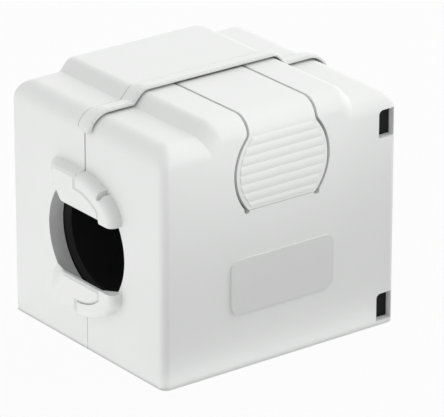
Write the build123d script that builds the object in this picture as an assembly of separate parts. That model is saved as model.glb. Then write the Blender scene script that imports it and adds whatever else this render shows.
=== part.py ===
from build123d import *
from math import hypot
import os

# Clip-on ferrite: a hinged plastic case that closes a split ferrite core round a cable.
# X runs across the case, Y along the cable and Z up. Lengths are in millimetres.
# The halves part on the plane x = 0, with the front half on +X. The origin is the middle of the base.

# Case
case_width = 30.5  # across both halves
case_length = 34.2  # between the two end faces
shoulder_height = 29.6  # base to the lower parts of the top
corner_radius = 1.0  # upright edges
top_edge_radius = 2.4  # edges round the top
seam_gap = 0.26  # between the two halves at the top
seam_base_gap = 0.06  # between them at the base
side_wall = 1.8
end_wall = 2.0
top_wall = 1.6
base_wall = 1.7

# Raised block across the top
block_rise = 1.5
block_top_length = 19.2
block_slope_run = 1.4
block_crest_radius = 1.2
block_tuck = 1.0  # how far the block's ends draw in below the shoulder

# Ferrite core and its seat
core_end_clearance = 0.1
core_top_gap = 2.2  # bridged by the hold-down ribs
core_side_gap = 0.25  # bridged by the crush ribs
core_face_gap = 0.05  # from the parting plane to each ground face
core_edge_radius = 0.8
bore_radius = 6.75
bore_chamfer = 0.5
crush_rib_width = 1.0
crush_rib_spacing = 21.0
hold_down_rib_width = 1.2
hold_down_rib_spacing = 25.6

# Cable hole and the lips that close over it
hole_radius = 7.6
lip_depth = 1.6  # how far the lips stand out of the end face
flap_thickness = 0.7
flap_opening = 8.9  # between the straight edges of the two flaps
flap_root_height = 9.0  # axis to the outer edge, on the end face
flap_root_inner_reach = 6.0  # parting plane to the end of the straight edge, on the end face
flap_root_outer_reach = 8.7  # parting plane to the outer corner, on the end face
flap_root_corner_radius = 2.0
flap_height = 8.6  # axis to the outer edge, at the front
flap_inner_reach = 2.7  # parting plane to the end of the straight edge, at the front
flap_outer_reach = 6.0  # parting plane to the outer corner, at the front
flap_corner_radius = 1.0
flap_mouth_radius = 5.6  # hollow behind the flaps, where it is narrowest
flap_tip_radius = 7.2
flap_tip_reach = 4.6  # how far a flap crosses the parting plane
flap_edge_bevel = 0.3
lip_clearance = 0.05
lip_outer_radius = 9.0
lip_mouth_radius = 6.4
lip_opening = 8.4  # between the ends of the two front lips
lip_reach = 7.1  # parting plane to their blunt ends
lip_corner_radius = 1.0
lip_edge_radius = 0.9
lip_notch_width = 0.6
lip_notch_height = 7.0  # axis to the floor of the notch in the upper lip

# Bead of the rear half that laps over the top seam
bead_rear_reach = 1.3
bead_front_reach = 1.5
bead_thickness = 0.4
bead_clearance = 0.3  # over the front half
bead_drop = 1.8  # shoulder to the ends of the bead
bead_edge_bevel = 0.2  # front edge
bead_ramp_drop = 0.6  # rear slope, down to the case
bead_ramp_run = 1.6
bead_groove_width = 0.25  # along the foot of the rear slope
bead_groove_depth = 0.2

# Snap tongue
tongue_thickness = 1.2
tongue_strip_width = 9.5
pad_radius = 6.6
pad_drop = 5.4  # shoulder to the middle of the pad
neck_radius = 1.6
root_drop = 9.9  # shoulder to the line that the tongue bends on
root_gap = 0.06
slot_width = 0.38
slot_end_radius = 0.42
pad_rib_count = 8
pad_rib_pitch = 1.135
pad_rib_start = 0.45  # root to the middle of the lowest rib
pad_rib_radius = 1.4
pad_rib_rise = 0.12
pad_rib_margin = 0.5

# Hook at the end of the tongue, and the bar that it catches on
hook_reach = 1.9  # past the parting plane
hook_thickness = 0.9
hook_width = 8.4
hook_neck_length = 1.6
barb_height = 0.3
barb_length = 0.8
catch_clearance = 0.15  # barb below the bar
catch_bar_width = 0.95
catch_pocket_length = 2.0
catch_pocket_depth = 0.7

# Windows in the far corners
window_height = 3.5
window_depth = 9.0
window_side_wall = 0.5  # left between the window and the end face
window_length = 2.3
window_corner_radius = 0.6
upper_window_drop = 2.1  # shoulder to the upper edge
lower_window_height = 0.55  # base to the lower edge

# Bare plaque on the front half
plaque_length = 15.0
plaque_height = 6.8
plaque_rise = 0.25
plaque_corner_radius = 1.3
plaque_centre_height = 10.45

# Film hinge under the seam
film_width = 1.6
film_length = 26.0
film_thickness = 0.35
film_base_gap = 0.05
film_end_clearance = 0.1

overrun = 1.0  # how far a cut runs past the face it opens

half_width = case_width / 2
half_length = case_length / 2
half_seam = seam_gap / 2
block_height = shoulder_height + block_rise
cavity_half_width = half_width - side_wall
cavity_half_length = half_length - end_wall
cavity_ceiling = shoulder_height - top_wall
block_ceiling = block_height - top_wall
core_top = cavity_ceiling - core_top_gap
bore_axis_height = (base_wall + core_top) / 2
core_half_width = cavity_half_width - core_side_gap
core_half_length = cavity_half_length - core_end_clearance
hook_top = block_ceiling - catch_clearance - barb_height
pad_centre_height = shoulder_height - pad_drop
root_height = shoulder_height - root_drop
upper_window_height = shoulder_height - upper_window_drop - window_height
tongue_start = bead_front_reach - bead_clearance  # under the front edge of the bead
film_top = film_base_gap + film_thickness


def block_between(low, high):
    """A block between its lowest and highest corners."""
    size = [b - a for a, b in zip(low, high)]
    middle = [(a + b) / 2 for a, b in zip(low, high)]
    return Pos(*middle) * Box(*size)


def area_between(low, high):
    """A rectangle between its lowest and highest corners."""
    size = [b - a for a, b in zip(low, high)]
    middle = [(a + b) / 2 for a, b in zip(low, high)]
    return Pos(*middle) * Rectangle(*size)


def across(profile, x_low, x_high):
    """Extrude a profile of the YZ plane between two places along X."""
    return Pos(x_low, 0, 0) * extrude(Plane.YZ * profile, x_high - x_low)


def both_ends(shape):
    """A shape at the near end face, and its mirror image at the far one."""
    return shape + mirror(shape, Plane.XZ)


def above_and_below(shape):
    """A shape above the cable axis, and its mirror image below."""
    return shape + mirror(shape, Plane.XY.offset(bore_axis_height))


def arch_profile(width, height, radius):
    """A rectangle on the base, with its two top corners rounded."""
    area = area_between((-width / 2, 0), (width / 2, height))
    return fillet(area.vertices().group_by(Axis.Y)[-1], radius)


def block_profile():
    """The raised block seen from the side: sloped walls with a soft crest, drawn in below the shoulder."""
    half_top = block_top_length / 2
    half_foot = half_top + block_slope_run
    right = [
        (half_top, block_height),
        (half_foot, shoulder_height),
        (half_foot - block_tuck, shoulder_height - top_edge_radius),
    ]
    left = [(-y, z) for y, z in reversed(right)]
    area = make_face(Polyline(*right, *left, close=True))
    return fillet(area.vertices().group_by(Axis.Y)[-1], block_crest_radius)


def case_form():
    """The closed case as one solid block, before it is hollowed and parted."""
    shoulder = block_between((-half_width, -half_length, 0), (half_width, half_length, shoulder_height))
    shoulder = fillet(shoulder.edges().filter_by(Axis.Z), corner_radius)
    shoulder = fillet(shoulder.faces().sort_by(Axis.Z)[-1].edges(), top_edge_radius)
    block = across(block_profile(), -half_width, half_width)
    sides = block.faces().sort_by(Axis.Z)[-1].edges().filter_by(Axis.Y)
    return shoulder + fillet(sides, top_edge_radius)


def cavity():
    """The space inside the closed case, with the ribs that seat the core left standing."""
    space = block_between(
        (-cavity_half_width, -cavity_half_length, base_wall),
        (cavity_half_width, cavity_half_length, cavity_ceiling),
    )
    block_half = block_top_length / 2 - top_wall / 2
    space += block_between(
        (-cavity_half_width, -block_half, core_top),
        (cavity_half_width, block_half, block_ceiling),
    )
    hold_down = block_between(
        (-cavity_half_width, -hold_down_rib_width / 2, core_top),
        (cavity_half_width, hold_down_rib_width / 2, cavity_ceiling),
    )
    crush = block_between(
        (core_half_width, -crush_rib_width / 2, base_wall),
        (cavity_half_width, crush_rib_width / 2, core_top),
    )
    for end in (-1, 1):
        space -= Pos(0, end * hold_down_rib_spacing / 2, 0) * hold_down
        rib = Pos(0, end * crush_rib_spacing / 2, 0) * crush
        space -= rib + mirror(rib, Plane.YZ)
    return space


def cable_hole():
    """The round hole through both end walls."""
    return Pos(0, 0, bore_axis_height) * Rot(X=90) * Cylinder(hole_radius, case_length + 2 * overrun)


def half_space(side):
    """All of the case's room on one side of the seam: -1 for the rear, 1 for the front."""
    outline = [
        (seam_base_gap / 2, -overrun),
        (case_width, -overrun),
        (case_width, block_height + overrun),
        (half_seam, block_height + overrun),
    ]
    room = extrude(Plane.XZ * make_face(Polyline(*outline, close=True)), half_length + overrun, both=True)
    return room if side > 0 else mirror(room, Plane.YZ)


def film_recess():
    """The recess under the seam that the film hinge fills."""
    half_room = film_length / 2 + film_end_clearance
    return block_between((-film_width / 2, -half_room, -overrun), (film_width / 2, half_room, film_top))


def windows():
    """The two windows in the far corner of the front half."""
    far_edge = half_length - window_side_wall
    area = area_between((far_edge - window_length, 0), (far_edge, window_height))
    inner_top = area.vertices().group_by(Axis.Y)[-1].sort_by(Axis.X)[0]
    pocket = across(fillet(inner_top, window_corner_radius), half_width - window_depth, half_width + overrun)
    return Pos(0, 0, upper_window_height) * pocket + Pos(0, 0, lower_window_height) * pocket


def end_plane(depth):
    """The plane of the near end face, moved outwards, with its centre on the cable axis."""
    return Plane((0, -half_length - depth, bore_axis_height), x_dir=(1, 0, 0), z_dir=(0, -1, 0))


def flap_outline(inner_reach, outer_reach, height, corner_radius):
    """The rear part of a flap seen from the end: straight along the hole, slanted at its outer end."""
    chord = flap_opening / 2
    outline = [
        (-half_seam, chord),
        (-inner_reach, chord),
        (-outer_reach, height),
        (-half_seam, height),
    ]
    area = make_face(Polyline(*outline, close=True))
    corners = area.vertices().filter_by_position(Axis.X, -outer_reach, -inner_reach)
    return fillet(corners, corner_radius)


def rear_flaps():
    """Hooded flaps of the rear half, which reach across the seam in front of the cable hole."""
    root = flap_outline(
        flap_root_inner_reach,
        flap_root_outer_reach,
        flap_root_height,
        flap_root_corner_radius,
    )
    front = flap_outline(flap_inner_reach, flap_outer_reach, flap_height, flap_corner_radius)
    flap = loft([end_plane(0) * root, end_plane(lip_depth) * front], ruled=True)
    tip_room = area_between((-half_seam, flap_opening / 2), (flap_tip_reach, flap_height))
    tip = Circle(flap_tip_radius) & tip_room
    hollow_depth = lip_depth - flap_thickness
    flap += extrude(end_plane(hollow_depth) * tip, flap_thickness)
    rim = flap.faces().sort_by(Axis.Y)[0].edges()
    flap = chamfer(rim, flap_edge_bevel)
    flap -= end_plane(hollow_depth / 2) * Cone(hole_radius, flap_mouth_radius, hollow_depth)
    return both_ends(above_and_below(flap))


def lip_outline():
    """An upper front lip seen from the end: a band round the flap tip, and a lobe past its end."""
    chord = lip_opening / 2
    step = flap_tip_reach + lip_clearance
    beside_tip = area_between((half_seam, chord), (step, lip_outer_radius))
    past_tip = area_between((step, chord), (lip_reach, lip_outer_radius))
    band = (Circle(lip_outer_radius) - Circle(flap_tip_radius + lip_clearance)) & beside_tip
    lobe = (Circle(lip_outer_radius) - Circle(lip_mouth_radius)) & past_tip
    outline = band + lobe
    outer_corner = outline.vertices().group_by(Axis.X)[-1].sort_by(Axis.Y)[-1]
    return fillet(outer_corner, lip_corner_radius)


def front_lips():
    """Curved lips of the front half, round the outside of the flap tips."""
    lip = extrude(end_plane(0) * lip_outline(), lip_depth)
    outer_rim = []
    for edge in lip.faces().sort_by(Axis.Y)[0].edges():
        middle = edge.center()
        if middle.X > seam_gap and hypot(middle.X, middle.Z - bore_axis_height) > hole_radius:
            outer_rim.append(edge)
    lip = fillet(outer_rim, lip_edge_radius)
    funnel_depth = lip_depth - flap_thickness / 2
    lip -= end_plane(funnel_depth / 2) * Cone(hole_radius, lip_mouth_radius, funnel_depth)
    lips = above_and_below(lip)
    notch = block_between(
        (flap_tip_reach - lip_notch_width / 2, -case_length, bore_axis_height + lip_notch_height),
        (flap_tip_reach + lip_notch_width / 2, -half_length, bore_axis_height + lip_outer_radius),
    )
    return both_ends(lips - notch)


def bead_rim(bead, side):
    """The long edges of the bead's first or last face along X, without those at its two ends."""
    edges = bead.faces().sort_by(Axis.X)[side].edges()
    return [edge for edge in edges if edge.center().Z > shoulder_height - bead_drop + bead_thickness]


def top_profile():
    """The whole case seen from the side, with the raised block on its shoulders."""
    return arch_profile(case_length, shoulder_height, top_edge_radius) + block_profile()


def bead_groove():
    """The shallow groove along the foot of the bead's rear slope."""
    ring = offset(top_profile(), overrun) - offset(top_profile(), -bead_groove_depth)
    ring &= area_between((-case_length, shoulder_height - bead_drop), (case_length, block_height + overrun))
    return across(ring, -bead_rear_reach - bead_groove_width, -bead_rear_reach)


def seam_bead():
    """The bead along the top seam, from one end face over the top to the other."""
    seam_profile = top_profile()
    bead = across(offset(seam_profile, bead_thickness + bead_clearance), -bead_rear_reach, bead_front_reach)
    bead_end = shoulder_height - bead_drop
    bead &= block_between(
        (-bead_rear_reach, -case_length, bead_end),
        (bead_front_reach, case_length, block_height + overrun),
    )
    rear_face = bead.faces().sort_by(Axis.X)[0]
    bead = chamfer(bead_rim(bead, 0), bead_ramp_drop, bead_ramp_run, reference=rear_face)
    bead = chamfer(bead_rim(bead, -1), bead_edge_bevel)
    return bead - across(offset(seam_profile, bead_clearance), -half_seam, bead_front_reach + overrun)


def catch_pocket():
    """The pocket in the rear half's ceiling, behind the bar that the hook catches on."""
    start = -half_seam - catch_bar_width
    return block_between(
        (start - catch_pocket_length, -tongue_strip_width / 2, core_top),
        (start, tongue_strip_width / 2, block_ceiling + catch_pocket_depth),
    )


def rear_shell():
    """The rear half of the case, with the bead, the catch and the flaps."""
    shell = case_form() & half_space(-1)
    shell -= bead_groove()
    shell += seam_bead()
    shell -= cavity()
    shell -= cable_hole()
    shell -= catch_pocket()
    shell -= mirror(windows(), Plane.YZ)
    shell -= film_recess()
    return shell + rear_flaps()


def tongue_outline():
    """The tongue seen from its side of the case: a strip that widens into a round pad."""
    strip = area_between(
        (-tongue_strip_width / 2, pad_centre_height),
        (tongue_strip_width / 2, block_height + overrun),
    )
    outline = strip + Pos(0, pad_centre_height) * Circle(pad_radius)
    necks = outline.vertices().filter_by_position(Axis.Y, pad_centre_height, block_height)
    return fillet(necks, neck_radius)


def below_root(height):
    """The part of the tongue's outline below its root, which stays with the front half."""
    return area_between((-case_length, 0), (case_length, height))


def tongue_opening():
    """The opening in the front half round the tongue: two slots, with round ends at the root."""
    opening = offset(tongue_outline(), slot_width) - below_root(root_height - root_gap)
    slot_middle = ((pad_radius + slot_width / 2) ** 2 - (root_drop - pad_drop) ** 2) ** 0.5
    for side in (-1, 1):
        opening += Pos(side * slot_middle, root_height) * Circle(slot_end_radius)
    return across(opening, 0, half_width + overrun)


def plaque():
    """The bare raised plaque on the outer face."""
    outline = RectangleRounded(plaque_length, plaque_height, plaque_corner_radius)
    return across(Pos(0, plaque_centre_height) * outline, half_width - plaque_rise, half_width + plaque_rise)


def front_shell():
    """The front half of the case, with the slots round the tongue, the windows and the lips."""
    shell = case_form() & half_space(1)
    shell -= cavity()
    shell -= cable_hole()
    shell -= tongue_opening()
    shell -= windows()
    shell -= film_recess()
    return shell + plaque() + front_lips()


def pad_ribs(outline):
    """Thumb ribs across the pad, kept inside its outline."""
    rib = Rot(X=90) * Cylinder(pad_rib_radius, 2 * pad_radius)
    rib_depth = half_width + pad_rib_rise - pad_rib_radius
    lowest = root_height + pad_rib_start
    ribs = [Pos(rib_depth, 0, lowest + i * pad_rib_pitch) * rib for i in range(pad_rib_count)]
    room = across(offset(outline, -pad_rib_margin), half_width - tongue_thickness / 2, half_width + overrun)
    return [rib & room for rib in ribs]


def latch_hook():
    """The hook under the end of the tongue, with its barb behind the catch bar."""
    bottom = hook_top - hook_thickness
    nose = block_between(
        (-hook_reach, -hook_width / 2, bottom),
        (tongue_start + hook_neck_length, hook_width / 2, hook_top),
    )
    neck = block_between(
        (tongue_start, -hook_width / 2, bottom),
        (tongue_start + hook_neck_length, hook_width / 2, block_height - tongue_thickness / 2),
    )
    barb_back = barb_length - hook_reach
    ramp = [(-hook_reach, hook_top), (barb_back, hook_top), (barb_back, hook_top + barb_height)]
    barb = extrude(Plane.XZ * make_face(Polyline(*ramp, close=True)), hook_width / 2, both=True)
    return nose + neck + barb


def latch_tongue():
    """The snap tongue: a curved strip of the wall with a ribbed pad and a hook."""
    outline = tongue_outline() - below_root(root_height)
    tongue = case_form() & across(outline, tongue_start, half_width + overrun)
    inside = arch_profile(
        case_width - 2 * tongue_thickness,
        block_height - tongue_thickness,
        top_edge_radius - tongue_thickness,
    )
    tongue -= extrude(Plane.XZ * inside, half_length, both=True)
    for rib in pad_ribs(outline):
        tongue += rib
    return tongue + latch_hook()


def film_hinge():
    """The thin web that joins the two halves under the seam."""
    return block_between(
        (-film_width / 2, -film_length / 2, film_base_gap),
        (film_width / 2, film_length / 2, film_top),
    )


def front_core():
    """One half of the ferrite, a block with half of the bore in its ground face."""
    core = block_between(
        (core_face_gap, -core_half_length, base_wall),
        (core_half_width, core_half_length, core_top),
    )
    outer_edges = core.edges().filter_by(Axis.Y).group_by(Axis.X)[-1]
    core = fillet(outer_edges, core_edge_radius)
    bore = Pos(0, 0, bore_axis_height) * Rot(X=90) * Cylinder(bore_radius, case_length)
    core -= bore
    rims = core.edges().filter_by(GeomType.CIRCLE)
    return chamfer([edge for edge in rims if edge.radius > core_edge_radius], bore_chamfer)


def rear_core():
    """The other half of the ferrite, the mirror image of the first."""
    return mirror(front_core(), Plane.YZ)


os.makedirs("parts", exist_ok=True)
for piece in (rear_shell, front_shell, latch_tongue, film_hinge, rear_core, front_core):
    export_step(piece(), f"parts/{piece.__name__}.step")
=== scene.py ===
"""Finishes a clip-on ferrite bead: grey case, near-black ferrite, bending film hinge and a white studio."""

import math

import bpy
from bpy.props import FloatProperty, FloatVectorProperty, IntProperty, PointerProperty
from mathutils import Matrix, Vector


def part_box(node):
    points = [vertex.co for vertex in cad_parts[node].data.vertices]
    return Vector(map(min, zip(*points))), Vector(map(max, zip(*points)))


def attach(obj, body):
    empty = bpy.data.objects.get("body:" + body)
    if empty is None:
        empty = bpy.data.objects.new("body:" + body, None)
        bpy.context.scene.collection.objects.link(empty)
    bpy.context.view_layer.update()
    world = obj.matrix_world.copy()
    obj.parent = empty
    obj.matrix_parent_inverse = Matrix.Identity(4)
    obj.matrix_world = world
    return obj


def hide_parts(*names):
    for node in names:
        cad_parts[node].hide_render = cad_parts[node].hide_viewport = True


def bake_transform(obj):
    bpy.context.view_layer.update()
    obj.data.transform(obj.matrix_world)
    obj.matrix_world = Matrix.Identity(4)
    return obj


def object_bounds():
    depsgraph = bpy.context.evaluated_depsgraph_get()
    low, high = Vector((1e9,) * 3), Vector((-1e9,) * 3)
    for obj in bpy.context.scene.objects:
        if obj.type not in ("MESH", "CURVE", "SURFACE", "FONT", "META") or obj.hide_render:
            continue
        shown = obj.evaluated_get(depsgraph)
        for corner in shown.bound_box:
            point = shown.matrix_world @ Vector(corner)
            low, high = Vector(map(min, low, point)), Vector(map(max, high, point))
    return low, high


bl_info = {
    "name": "Clip-on Ferrite Bead",
    "version": (1, 0, 0),
    "blender": (4, 5, 0),
    "location": "3D View > Sidebar > Ferrite",
    "description": "Finishes the case, ferrite and film hinge of a clip-on ferrite bead, and lights it",
    "category": "Object",
}

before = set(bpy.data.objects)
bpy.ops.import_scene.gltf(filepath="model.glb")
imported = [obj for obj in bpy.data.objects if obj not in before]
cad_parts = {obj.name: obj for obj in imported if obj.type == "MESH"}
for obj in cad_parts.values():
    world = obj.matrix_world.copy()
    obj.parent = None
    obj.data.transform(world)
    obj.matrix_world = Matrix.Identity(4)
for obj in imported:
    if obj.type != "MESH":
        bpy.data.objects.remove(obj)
cad_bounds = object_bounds()
film_low, film_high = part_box("film_hinge")
core_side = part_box("front_core")[1].x
case_side = -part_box("rear_shell")[0].x
plaque_face = cad_bounds[1].x

SHELL_NODES = ("rear_shell", "front_shell", "latch_tongue")
CORE_NODES = ("rear_core", "front_core")

# Each lamp's size, its place and the point it faces, in lengths of the part from the middle of the base.
LAMPS = {
    "front_card": ((5.0, 3.0), (-0.5, -2.6, 0.002), (-0.5, -2.6, 1.0)),
    "near_card": ((1.3, 1.4), (-0.2, -1.16, 0.004), (-0.2, -1.16, 1.0)),
    "side_strip": ((1.1, 0.2), (0.8, 0.0, 0.85), (0.4, 0.0, 0.8)),
    "side_card": ((0.08, 0.9), (0.46, -0.02, 0.003), (0.46, -0.02, 1.0)),
}

# The direction in which each side of the sky is brightest.
SKY_SIDES = {
    "front_sky": (-0.33, -0.94, 0.0),
    "back_sky": (0.0, 1.0, 0.0),
    "top_sky": (0.0, 0.0, 1.0),
}

# Levels of detail in the noise of the fine grain and of the broad mottling.
NOISE_DETAIL = {"Grain": 2.0, "Mottle": 4.0}


class ShellPlastic(bpy.types.PropertyGroup):
    """Finish of the moulded case"""

    colour: FloatVectorProperty(
        name="Colour",
        description="Colour of the light grey plastic",
        subtype="COLOR",
        size=3,
        min=0.0,
        max=1.0,
        default=(0.78, 0.79, 0.78),
    )
    plaque_tint: FloatProperty(
        name="Plaque tint",
        description="Share of the colour's lightness that the bare plaque's face keeps",
        subtype="FACTOR",
        default=0.9,
        min=0.0,
        max=1.0,
    )
    plaque_depth: FloatProperty(
        name="Plaque depth",
        description="How far down from the plaque's face its finish reaches",
        subtype="DISTANCE",
        default=0.00005,
        min=0.0,
    )
    grain_size: FloatProperty(
        name="Grain size",
        description="Distance between the grains of the moulded surface",
        subtype="DISTANCE",
        default=0.00016,
        min=0.00002,
    )
    grain_depth: FloatProperty(
        name="Grain depth",
        description="Depth of the moulded grain",
        subtype="DISTANCE",
        default=0.000004,
        min=0.0,
    )
    mottle_size: FloatProperty(
        name="Mottle size",
        description="Distance between the faint patches of the plastic",
        subtype="DISTANCE",
        default=0.0064,
        min=0.0001,
    )
    mottle_tint: FloatProperty(
        name="Mottle tint",
        description="How far the patches are darker or lighter than the colour",
        subtype="FACTOR",
        default=0.015,
        min=0.0,
        max=1.0,
    )
    roughness: FloatProperty(
        name="Roughness",
        description="Mean roughness of the plastic",
        subtype="FACTOR",
        default=0.5,
        min=0.0,
        max=1.0,
    )
    roughness_spread: FloatProperty(
        name="Roughness spread",
        description="How far the patches are rougher or smoother than the mean",
        subtype="FACTOR",
        default=0.06,
        min=0.0,
        max=0.5,
    )
    ior: FloatProperty(
        name="Index of refraction",
        description="Index of refraction of the plastic",
        default=1.46,
        min=1.0,
    )


class Ferrite(bpy.types.PropertyGroup):
    """Finish of the sintered core halves"""

    colour: FloatVectorProperty(
        name="Colour",
        description="Colour of the sintered ferrite",
        subtype="COLOR",
        size=3,
        min=0.0,
        max=1.0,
        default=(0.006, 0.006, 0.0065),
    )
    ground_colour: FloatVectorProperty(
        name="Ground colour",
        description="Colour of the ground mating faces",
        subtype="COLOR",
        size=3,
        min=0.0,
        max=1.0,
        default=(0.022, 0.022, 0.024),
    )
    speck_size: FloatProperty(
        name="Speck size",
        description="Distance between the pores of the sintered surface",
        subtype="DISTANCE",
        default=0.0003,
        min=0.00002,
    )
    speck_depth: FloatProperty(
        name="Speck depth",
        description="Depth of the pores of the sintered surface",
        subtype="DISTANCE",
        default=0.000006,
        min=0.0,
    )
    mottle_size: FloatProperty(
        name="Mottle size",
        description="Distance between the faint patches of the ferrite",
        subtype="DISTANCE",
        default=0.0036,
        min=0.0001,
    )
    mottle_gain: FloatProperty(
        name="Mottle gain",
        description="How many times the colour the lightest patches are",
        default=1.6,
        min=1.0,
    )
    roughness: FloatProperty(
        name="Roughness",
        description="Roughness of the sintered faces",
        subtype="FACTOR",
        default=0.62,
        min=0.0,
        max=1.0,
    )
    ground_roughness: FloatProperty(
        name="Ground roughness",
        description="Roughness of the ground mating faces",
        subtype="FACTOR",
        default=0.42,
        min=0.0,
        max=1.0,
    )
    shine: FloatProperty(
        name="Shine",
        description="Strength of the reflections on the ferrite",
        subtype="FACTOR",
        default=0.22,
        min=0.0,
        max=1.0,
    )
    ground_depth: FloatProperty(
        name="Ground depth",
        description="How far from the parting plane a face counts as ground",
        subtype="DISTANCE",
        default=0.00006,
        min=0.0,
    )


class WindowShadePlates(bpy.types.PropertyGroup):
    """Dark plates in the ferrite's finish behind the corner windows, beside the core halves, as painted shade
    in the window pockets
    """

    # The plates are not part of the case: they are dark stand-ins that paint the shade inside the window
    # pockets.
    setback: FloatProperty(
        name="Setback",
        description="How far the ferrite stands behind the case's side",
        subtype="DISTANCE",
        default=0.001,
    )
    clearance: FloatProperty(
        name="Clearance",
        description="Gap between a plate and the walls round it",
        subtype="DISTANCE",
        default=0.00003,
    )
    length: FloatProperty(
        name="Window length",
        description="Size of a window along the cable",
        subtype="DISTANCE",
        default=0.0023,
    )
    height: FloatProperty(
        name="Window height",
        description="Size of a window from its lower to its upper edge",
        subtype="DISTANCE",
        default=0.0035,
    )
    corner: FloatProperty(
        name="Window corner",
        description="Radius of a window's rounded corner",
        subtype="DISTANCE",
        default=0.0006,
    )
    corner_segments: IntProperty(
        name="Corner segments",
        description="Faces round a plate's corner",
        default=4,
        min=1,
    )
    far_edge: FloatProperty(
        name="Far edge",
        description="Far edge of the windows from the middle of the case",
        subtype="DISTANCE",
        default=0.0166,
    )
    lower_edge: FloatProperty(
        name="Lower window",
        description="Lower edge of the lower windows above the base",
        subtype="DISTANCE",
        default=0.00055,
    )
    upper_edge: FloatProperty(
        name="Upper window",
        description="Lower edge of the upper windows above the base",
        subtype="DISTANCE",
        default=0.024,
    )


class FilmHinge(bpy.types.PropertyGroup):
    """Shape of the thin web that joins the halves"""

    columns: IntProperty(
        name="Columns",
        description="Faces across the web, so that it bends smoothly",
        default=16,
        min=4,
    )
    rows: IntProperty(
        name="Rows",
        description="Faces along the web",
        default=2,
        min=1,
    )
    smooth_angle: FloatProperty(
        name="Smooth angle",
        description="Angle between faces up to which the web is shaded smooth",
        subtype="ANGLE",
        default=math.radians(35),
    )
    waist: FloatProperty(
        name="Waist",
        description="Share of the web's thickness that is left along the bending line",
        subtype="FACTOR",
        default=0.55,
        min=0.2,
        max=1.0,
    )
    bend_width: FloatProperty(
        name="Bend width",
        description="Width of the strip in which the web bends",
        subtype="DISTANCE",
        default=0.0006,
        min=0.0001,
    )


class Stage(bpy.types.PropertyGroup):
    """Camera, floor and studio light"""

    azimuth: FloatProperty(
        name="Azimuth",
        description="Turn of the camera from the cable's axis",
        subtype="ANGLE",
        default=math.radians(53.01),
    )
    elevation: FloatProperty(
        name="Elevation",
        description="Height of the camera above the horizon",
        subtype="ANGLE",
        default=math.radians(22.375),
    )
    distance: FloatProperty(
        name="Distance",
        description="Camera to the point that it looks at",
        subtype="DISTANCE",
        default=0.4999,
    )
    aim: FloatVectorProperty(
        name="Aim",
        description="Point that the camera looks at",
        subtype="XYZ",
        size=3,
        default=(0.001551, 0.001574, 0.013819),
    )
    lens: FloatProperty(
        name="Lens",
        description="Focal length of the camera in millimetres",
        default=340.54,
    )
    clip_start: FloatProperty(
        name="Clip start",
        description="Distance from the camera at which the view begins",
        subtype="DISTANCE",
        default=0.01,
    )
    floor_size: FloatProperty(
        name="Floor size",
        description="Width of the floor",
        subtype="DISTANCE",
        default=8.0,
    )
    floor_lift: FloatProperty(
        name="Floor lift",
        description="Height of the floor above the part's base, so that the base shows from below",
        subtype="DISTANCE",
        default=0.00002,
    )
    floor_colour: FloatVectorProperty(
        name="Floor colour",
        description="Colour of the pale floor",
        subtype="COLOR",
        size=3,
        default=(0.6, 0.6, 0.6),
    )
    floor_roughness: FloatProperty(
        name="Floor roughness",
        description="Roughness of the pale floor",
        subtype="FACTOR",
        default=0.9,
        min=0.0,
        max=1.0,
    )
    floor_whiteness: FloatProperty(
        name="Floor whiteness",
        description="How much of the floor's look is plain white rather than lit",
        subtype="FACTOR",
        default=0.94,
        min=0.0,
        max=1.0,
    )
    front_sky: FloatProperty(
        name="Front sky",
        description="Strength of the sky before the cable hole, towards the rear half's side",
        default=0.95,
    )
    back_sky: FloatProperty(
        name="Back sky",
        description="Strength of the sky beyond the far end",
        default=1.98,
    )
    top_sky: FloatProperty(
        name="Top sky",
        description="Strength of the sky straight above",
        default=0.65,
    )
    low_sky: FloatProperty(
        name="Low sky",
        description="Strength of the light from below, which the floor keeps from all that stands on it",
        default=0.6,
    )
    front_card: FloatProperty(
        name="Front card",
        description="Power of the wide bright card on the floor before the cable hole",
        subtype="POWER",
        default=0.042,
    )
    near_card: FloatProperty(
        name="Near card",
        description="Power of the small bright card on the floor close to the cable hole",
        subtype="POWER",
        default=0.0049,
    )
    side_strip: FloatProperty(
        name="Side strip",
        description="Power of the narrow lamp level with the top of the tongue's side",
        subtype="POWER",
        default=0.00131,
    )
    side_card: FloatProperty(
        name="Side card",
        description="Power of the narrow bright card on the floor beside the tongue's side",
        subtype="POWER",
        default=0.00023,
    )


class FerriteBead(bpy.types.PropertyGroup):
    """All the settings of the part"""

    shells: PointerProperty(type=ShellPlastic)
    ferrite: PointerProperty(type=Ferrite)
    windows: PointerProperty(type=WindowShadePlates)
    film: PointerProperty(type=FilmHinge)
    stage: PointerProperty(type=Stage)


def settings():
    """The part's settings on the current scene."""
    return bpy.context.scene.ferrite_bead


def deselect_all():
    """Leave nothing selected, so that the next operator works on new geometry alone."""
    if bpy.context.object and bpy.context.object.mode != "OBJECT":
        bpy.ops.object.mode_set(mode="OBJECT")
    bpy.ops.object.select_all(action="DESELECT")


def speckle_group():
    """Node group of fine grain over broad mottling, shared by the plastic and the ferrite."""
    name = "Grain and mottle"
    if name in bpy.data.node_groups:
        return bpy.data.node_groups[name]
    group = bpy.data.node_groups.new(name, "ShaderNodeTree")
    face = group.interface
    for label in NOISE_DETAIL:
        face.new_socket(label + " scale", in_out="INPUT", socket_type="NodeSocketFloat")
        face.new_socket(label, in_out="OUTPUT", socket_type="NodeSocketFloat")
    nodes, links = group.nodes, group.links
    ins = nodes.new("NodeGroupInput")
    outs = nodes.new("NodeGroupOutput")
    place = nodes.new("ShaderNodeTexCoord")
    for label, detail in NOISE_DETAIL.items():
        noise = nodes.new("ShaderNodeTexNoise")
        noise.inputs["Detail"].default_value = detail
        links.new(place.outputs["Object"], noise.inputs["Vector"])
        links.new(ins.outputs[label + " scale"], noise.inputs["Scale"])
        links.new(noise.outputs["Fac"], outs.inputs[label])
    return group


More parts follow.
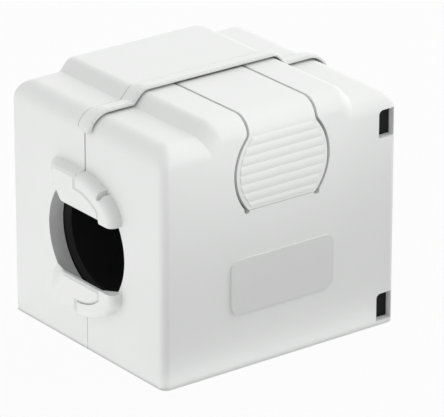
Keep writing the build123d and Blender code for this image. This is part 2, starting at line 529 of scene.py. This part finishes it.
def new_material(name):
    """An empty node material with a Principled BSDF; returns it with its nodes, links and shader."""
    material = bpy.data.materials.new(name)
    material.use_nodes = True
    tree = material.node_tree
    return material, tree.nodes, tree.links, tree.nodes["Principled BSDF"]


def speckle(nodes, grain_size, mottle_size):
    """Place the shared grain group with sizes in metres."""
    node = nodes.new("ShaderNodeGroup")
    node.node_tree = speckle_group()
    node.inputs["Grain scale"].default_value = 1.0 / grain_size
    node.inputs["Mottle scale"].default_value = 1.0 / mottle_size
    return node


def remap(nodes, links, source, low, high):
    """A value from 0 to 1 spread between low and high."""
    node = nodes.new("ShaderNodeMapRange")
    node.inputs["To Min"].default_value = low
    node.inputs["To Max"].default_value = high
    links.new(source, node.inputs["Value"])
    return node.outputs["Result"]


def math_node(nodes, links, operation, *sources):
    """The result of one operation on values or sockets."""
    node = nodes.new("ShaderNodeMath")
    node.operation = operation
    for socket, source in zip(node.inputs, sources):
        if isinstance(source, bpy.types.NodeSocket):
            links.new(source, socket)
        else:
            socket.default_value = source
    return node.outputs["Value"]


def tint(nodes, links, factor, dark, light):
    """A colour between two, by a factor."""
    node = nodes.new("ShaderNodeMix")
    node.data_type = "RGBA"
    node.inputs["A"].default_value = (*dark, 1.0)
    node.inputs["B"].default_value = (*light, 1.0)
    links.new(factor, node.inputs["Factor"])
    return node.outputs["Result"]


def paint(nodes, links, under, mask, colour):
    """A colour laid over another where a mask is 1."""
    node = nodes.new("ShaderNodeMix")
    node.data_type = "RGBA"
    node.inputs["B"].default_value = (*colour, 1.0)
    links.new(under, node.inputs["A"])
    links.new(mask, node.inputs["Factor"])
    return node.outputs["Result"]


def object_axes(nodes, links):
    """The X, Y and Z of a point in the object's own frame."""
    axes = nodes.new("ShaderNodeSeparateXYZ")
    links.new(nodes.new("ShaderNodeTexCoord").outputs["Object"], axes.inputs["Vector"])
    return axes.outputs


def bump(nodes, links, height, depth, shader):
    """Raise a surface by a height map of the given depth in metres."""
    node = nodes.new("ShaderNodeBump")
    node.inputs["Distance"].default_value = depth
    links.new(height, node.inputs["Height"])
    links.new(node.outputs["Normal"], shader.inputs["Normal"])


def shell_plastic():
    """Light grey moulded plastic with a fine matt grain."""
    name = "Moulded plastic"
    if name in bpy.data.materials:
        return bpy.data.materials[name]
    values = settings().shells
    material, nodes, links, shader = new_material(name)
    grain = speckle(nodes, values.grain_size, values.mottle_size)
    dark = [c * (1.0 - values.mottle_tint) for c in values.colour]
    light = [min(c * (1.0 + values.mottle_tint), 1.0) for c in values.colour]
    plain = tint(nodes, links, grain.outputs["Mottle"], dark, light)
    across = object_axes(nodes, links)["X"]
    on_plaque = math_node(nodes, links, "GREATER_THAN", across, plaque_face - values.plaque_depth)
    matt = [c * values.plaque_tint for c in values.colour]
    links.new(paint(nodes, links, plain, on_plaque, matt), shader.inputs["Base Color"])
    smooth, rough = values.roughness - values.roughness_spread, values.roughness + values.roughness_spread
    links.new(remap(nodes, links, grain.outputs["Mottle"], smooth, rough), shader.inputs["Roughness"])
    shader.inputs["IOR"].default_value = values.ior
    bump(nodes, links, grain.outputs["Grain"], values.grain_depth, shader)
    return material


def ferrite():
    """Near-black sintered ferrite whose mating faces are ground."""
    name = "Ferrite"
    if name in bpy.data.materials:
        return bpy.data.materials[name]
    values = settings().ferrite
    material, nodes, links, shader = new_material(name)
    specks = speckle(nodes, values.speck_size, values.mottle_size)
    offset = math_node(nodes, links, "ABSOLUTE", object_axes(nodes, links)["X"])
    ground = math_node(nodes, links, "LESS_THAN", offset, values.ground_depth)
    light = [c * values.mottle_gain for c in values.colour]
    sintered = tint(nodes, links, specks.outputs["Mottle"], values.colour, light)
    links.new(paint(nodes, links, sintered, ground, values.ground_colour), shader.inputs["Base Color"])
    roughness = remap(nodes, links, ground, values.roughness, values.ground_roughness)
    links.new(roughness, shader.inputs["Roughness"])
    shader.inputs["Specular IOR Level"].default_value = values.shine
    bump(nodes, links, specks.outputs["Grain"], values.speck_depth, shader)
    return material


def assign(nodes, material):
    """Give each CAD node one material."""
    for name in nodes:
        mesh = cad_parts[name].data
        mesh.materials.clear()
        mesh.materials.append(material)


class FERRITE_OT_shells(bpy.types.Operator):
    """Finish both halves of the case and the snap tongue"""

    bl_idname = "ferrite.shells"
    bl_label = "Shells"

    def execute(self, context):
        assign(SHELL_NODES, shell_plastic())
        return {"FINISHED"}


class FERRITE_OT_cores(bpy.types.Operator):
    """Finish both halves of the ferrite"""

    bl_idname = "ferrite.cores"
    bl_label = "Cores"

    def execute(self, context):
        assign(CORE_NODES, ferrite())
        return {"FINISHED"}


def painted_shade_plate(name, side, lower_edge):
    """A dark plate in the ferrite's finish behind one window, as painted shade in its pocket, on the side of
    the case that the sign gives.
    """
    values = settings().windows
    room = values.clearance
    low = Vector((core_side + room, values.far_edge - values.length + room, lower_edge + room))
    high = Vector((case_side - values.setback, values.far_edge - room, lower_edge + values.height - room))
    middle = (low + high) / 2
    deselect_all()
    bpy.ops.mesh.primitive_cube_add(size=1.0, location=(side * middle.x, middle.y, middle.z))
    plate = bpy.context.object
    plate.name = name
    plate.scale = high - low
    bpy.ops.object.transform_apply(location=True, rotation=True, scale=True)
    points = [vertex.co for vertex in plate.data.vertices]
    weights = plate.data.attributes.new("bevel_weight_edge", "FLOAT", "EDGE")
    for edge in plate.data.edges:
        if all(points[i].y < middle.y and points[i].z > middle.z for i in edge.vertices):
            weights.data[edge.index].value = 1.0
    bevel = plate.modifiers.new("Corner", "BEVEL")
    bevel.limit_method = "WEIGHT"
    bevel.width = values.corner
    bevel.segments = values.corner_segments
    bpy.ops.object.modifier_apply(modifier=bevel.name)
    # The plate takes the ferrite's near-black colour, which paints the shade in the window's pocket.
    plate.data.materials.append(ferrite())
    return plate


class FERRITE_OT_window_shade_plates(bpy.types.Operator):
    """Put dark plates in the ferrite's finish behind the corner windows, as painted shade in the window
    pockets
    """

    bl_idname = "ferrite.window_cores"
    bl_label = "Window cores"

    def execute(self, context):
        values = settings().windows
        for body, side in (("front", 1.0), ("rear", -1.0)):
            for label, edge in (("lower", values.lower_edge), ("upper", values.upper_edge)):
                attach(painted_shade_plate(f"{body}_{label}_window_core", side, edge), body)
        return {"FINISHED"}


class FERRITE_OT_film_hinge(bpy.types.Operator):
    """Model the film hinge as a thin web that bends"""

    bl_idname = "ferrite.film_hinge"
    bl_label = "Film hinge"

    def execute(self, context):
        values = settings().film
        size = film_high - film_low
        middle = (film_low + film_high) / 2
        deselect_all()
        bpy.ops.mesh.primitive_grid_add(
            x_subdivisions=values.columns,
            y_subdivisions=values.rows,
            size=1.0,
            location=(middle.x, middle.y, film_high.z),
        )
        web = context.object
        web.name = "film_web"
        web.scale = (size.x, size.y, 1.0)
        bpy.ops.object.transform_apply(location=True, rotation=True, scale=True)
        solid = web.modifiers.new("Thickness", "SOLIDIFY")
        solid.thickness = size.z
        solid.offset = -1.0
        bpy.ops.object.modifier_apply(modifier=solid.name)
        half = size.x / 2
        for vertex in web.data.vertices:
            if vertex.co.z < middle.z:
                share = max(0.0, 1.0 - abs(vertex.co.x - middle.x) / half)
                vertex.co.z += (1.0 - values.waist) * size.z * share**2
        web.data.materials.append(shell_plastic())
        bpy.ops.object.shade_smooth_by_angle(angle=values.smooth_angle)
        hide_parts("film_hinge")
        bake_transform(web)
        return {"FINISHED"}


def white_to_the_eye(nodes, links):
    """Factor that is 1 for camera and transmission rays, and 0 for light that falls on the part."""
    path = nodes.new("ShaderNodeLightPath").outputs
    return math_node(nodes, links, "MAXIMUM", path["Is Camera Ray"], path["Is Transmission Ray"])


def sky_side(nodes, links, direction, towards, strength):
    """Light from one side of the sky, strongest straight towards it and falling to none at a right angle."""
    facing = nodes.new("ShaderNodeVectorMath")
    facing.operation = "DOT_PRODUCT"
    facing.inputs[1].default_value = Vector(towards).normalized()
    links.new(direction, facing.inputs[0])
    lobe = math_node(nodes, links, "MAXIMUM", facing.outputs["Value"], 0.0)
    return math_node(nodes, links, "MULTIPLY", lobe, strength)


def white_sky(values):
    """Plain white background that lights the part from the sides of the sky, and evenly from below."""
    world = bpy.data.worlds.new("Studio")
    bpy.context.scene.world = world
    world.use_nodes = True
    nodes, links = world.node_tree.nodes, world.node_tree.links
    background = nodes["Background"]
    background.inputs["Color"].default_value = (1.0, 1.0, 1.0, 1.0)
    direction = nodes.new("ShaderNodeTexCoord").outputs["Generated"]
    axes = nodes.new("ShaderNodeSeparateXYZ")
    links.new(direction, axes.inputs["Vector"])
    light = 0.0
    for name, towards in SKY_SIDES.items():
        side = sky_side(nodes, links, direction, towards, getattr(values, name))
        light = math_node(nodes, links, "ADD", light, side)
    below = math_node(nodes, links, "LESS_THAN", axes.outputs["Z"], 0.0)
    light = math_node(nodes, links, "MULTIPLY", light, math_node(nodes, links, "SUBTRACT", 1.0, below))
    light = math_node(nodes, links, "MULTIPLY_ADD", below, values.low_sky, light)
    mix = nodes.new("ShaderNodeMix")
    mix.inputs["B"].default_value = 1.0
    links.new(white_to_the_eye(nodes, links), mix.inputs["Factor"])
    links.new(light, mix.inputs["A"])
    links.new(mix.outputs["Result"], background.inputs["Strength"])


def floor_material(values):
    """Pale floor that keeps a soft shadow on white, clear to all rays from below and under the film hinge."""
    material, nodes, links, shader = new_material("Pale floor")
    shader.inputs["Base Color"].default_value = (*values.floor_colour, 1.0)
    shader.inputs["Roughness"].default_value = values.floor_roughness
    shader.inputs["Specular IOR Level"].default_value = 0.0
    clear = nodes.new("ShaderNodeBsdfTransparent")
    axes = object_axes(nodes, links)
    inside = [
        math_node(nodes, links, "LESS_THAN", math_node(nodes, links, "ABSOLUTE", axes[axis]), reach)
        for axis, reach in (("X", film_high.x), ("Y", film_high.y))
    ]
    under_film = math_node(nodes, links, "MULTIPLY", *inside)
    below = nodes.new("ShaderNodeNewGeometry").outputs["Backfacing"]
    clear_to_all = math_node(nodes, links, "MAXIMUM", below, under_film)
    seen = remap(nodes, links, white_to_the_eye(nodes, links), 0.0, values.floor_whiteness)
    share = math_node(nodes, links, "MAXIMUM", seen, clear_to_all)
    mix = nodes.new("ShaderNodeMixShader")
    links.new(share, mix.inputs["Fac"])
    links.new(shader.outputs["BSDF"], mix.inputs[1])
    links.new(clear.outputs["BSDF"], mix.inputs[2])
    links.new(mix.outputs["Shader"], nodes["Material Output"].inputs["Surface"])
    return material


def soft_lamp(name, power, size, place, target):
    """A rectangular area lamp that faces a target."""
    bpy.ops.object.light_add(type="AREA", location=place)
    lamp = bpy.context.object
    lamp.name = name
    lamp.visible_camera = False
    lamp.data.energy = power
    lamp.data.shape = "RECTANGLE"
    lamp.data.size, lamp.data.size_y = size
    lamp.rotation_euler = (target - place).to_track_quat("-Z", "Y").to_euler()


class FERRITE_OT_stage(bpy.types.Operator):
    """Set up the camera, the pale floor and the soft studio light"""

    bl_idname = "ferrite.stage"
    bl_label = "Stage"

    def execute(self, context):
        values = settings().stage
        scene = context.scene
        deselect_all()
        bpy.ops.mesh.primitive_plane_add(size=values.floor_size, location=(0.0, 0.0, values.floor_lift))
        floor = context.object
        floor.name = "floor"
        floor.data.materials.append(floor_material(values))

        white_sky(values)
        span = cad_bounds[1].y - cad_bounds[0].y
        for name, (size, place, target) in LAMPS.items():
            power = getattr(values, name)
            soft_lamp(name, power, Vector(size) * span, Vector(place) * span, Vector(target) * span)

        aim = Vector(values.aim)
        back = Vector(
            (
                math.sin(values.azimuth) * math.cos(values.elevation),
                -math.cos(values.azimuth) * math.cos(values.elevation),
                math.sin(values.elevation),
            )
        )
        bpy.ops.object.camera_add(location=aim + back * values.distance)
        camera = context.object
        camera.rotation_euler = (-back).to_track_quat("-Z", "Y").to_euler()
        camera.data.lens = values.lens
        camera.data.clip_start = values.clip_start
        scene.camera = camera
        scene.view_settings.view_transform = "Standard"
        return {"FINISHED"}


class FERRITE_PT_sidebar(bpy.types.Panel):
    """Settings and steps of the clip-on ferrite bead"""

    bl_idname = "FERRITE_PT_sidebar"
    bl_label = "Clip-on Ferrite Bead"
    bl_space_type = "VIEW_3D"
    bl_region_type = "UI"
    bl_category = "Ferrite"

    def draw(self, context):
        bead = context.scene.ferrite_bead
        for group, operator in (
            (bead.shells, FERRITE_OT_shells),
            (bead.ferrite, FERRITE_OT_cores),
            (bead.windows, FERRITE_OT_window_shade_plates),
            (bead.film, FERRITE_OT_film_hinge),
            (bead.stage, FERRITE_OT_stage),
        ):
            box = self.layout.box()
            for name in group.__annotations__:
                box.prop(group, name)
            box.operator(operator.bl_idname)


CLASSES = (
    ShellPlastic,
    Ferrite,
    WindowShadePlates,
    FilmHinge,
    Stage,
    FerriteBead,
    FERRITE_OT_shells,
    FERRITE_OT_cores,
    FERRITE_OT_window_shade_plates,
    FERRITE_OT_film_hinge,
    FERRITE_OT_stage,
    FERRITE_PT_sidebar,
)


def register():
    for cls in CLASSES:
        bpy.utils.register_class(cls)
    bpy.types.Scene.ferrite_bead = PointerProperty(type=FerriteBead)


def unregister():
    del bpy.types.Scene.ferrite_bead
    for cls in reversed(CLASSES):
        bpy.utils.unregister_class(cls)


def main():
    """Build the finished part on its stage."""
    register()
    bpy.ops.ferrite.shells()
    bpy.ops.ferrite.cores()
    bpy.ops.ferrite.window_cores()
    bpy.ops.ferrite.film_hinge()
    bpy.ops.ferrite.stage()


if __name__ == "__main__":
    main()
